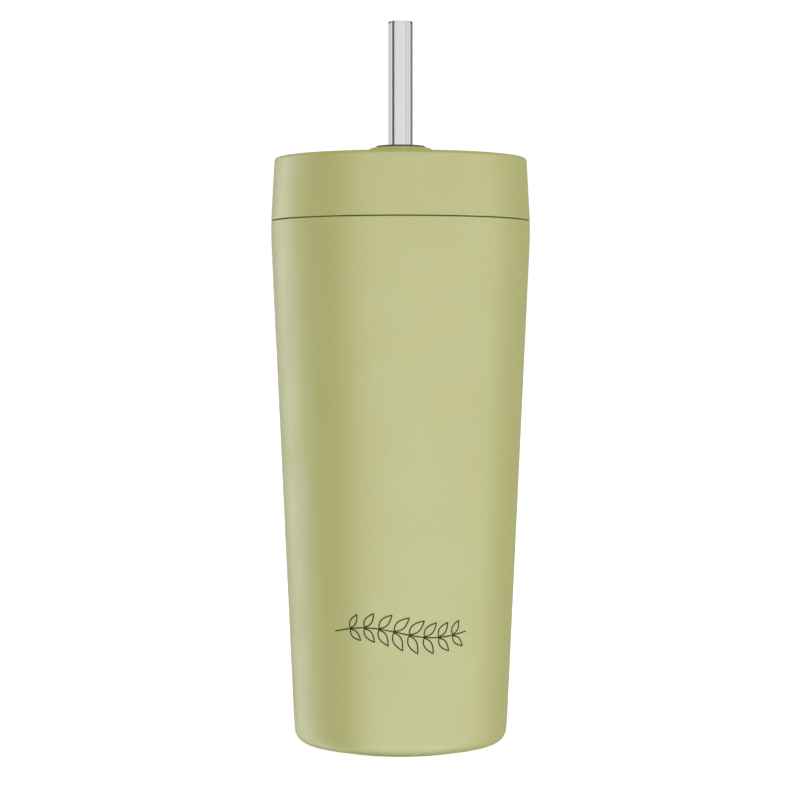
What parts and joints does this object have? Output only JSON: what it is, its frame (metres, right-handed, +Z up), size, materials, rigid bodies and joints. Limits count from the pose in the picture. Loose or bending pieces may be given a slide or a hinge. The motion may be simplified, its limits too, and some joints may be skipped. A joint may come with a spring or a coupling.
{
  "type": "insulated tumbler with lid",
  "caption": "Tall tapered double-walled steel tumbler with a coated outside, a silicone foot, a push-on sealed lid and a clear glass straw through its middle.",
  "frame": {"origin": "centre of the foot, on the surface that the tumbler stands on", "axes": "+Z up along the axis of the cup and the straw; the plain side with the engraved motif faces -Y, and the lid's air vent is towards +Y"},
  "size_m": [0.0878, 0.0878, 0.2457],
  "materials": {
    "powder_coat": "satin",
    "lid_plastic": "satin",
    "brushed_steel": "satin",
    "copper": "satin",
    "solder_glass": "gloss",
    "plug_plastic": "satin",
    "silicone": "matte",
    "clear_glass": "polished"
  },
  "bodies": {
    "cup": {"outer_shell": "powder_coat", "inner_liner": "brushed_steel", "copper_shield": "copper", "base_plate": "brushed_steel", "seal_bead": "solder_glass", "getter_pill": "brushed_steel", "base_cover": "brushed_steel", "base_pad": "silicone"},
    "lid": {"lid_cover": "lid_plastic", "lid_plug": "plug_plastic", "lid_gasket": "silicone", "straw_collar": "lid_plastic", "collar_seal": "silicone", "straw_grommet": "silicone"},
    "straw": {"straw": "clear_glass"}
  },
  "joints": [
    {"name": "lid_lift", "type": "slide", "parent": "cup", "child": "lid", "axis": [0, 0, 1], "range_m": [0, 0.2]},
    {"name": "straw_slide", "type": "slide", "parent": "lid", "child": "straw", "axis": [0, 0, 1], "range_m": [0, 0.2]}
  ]
}
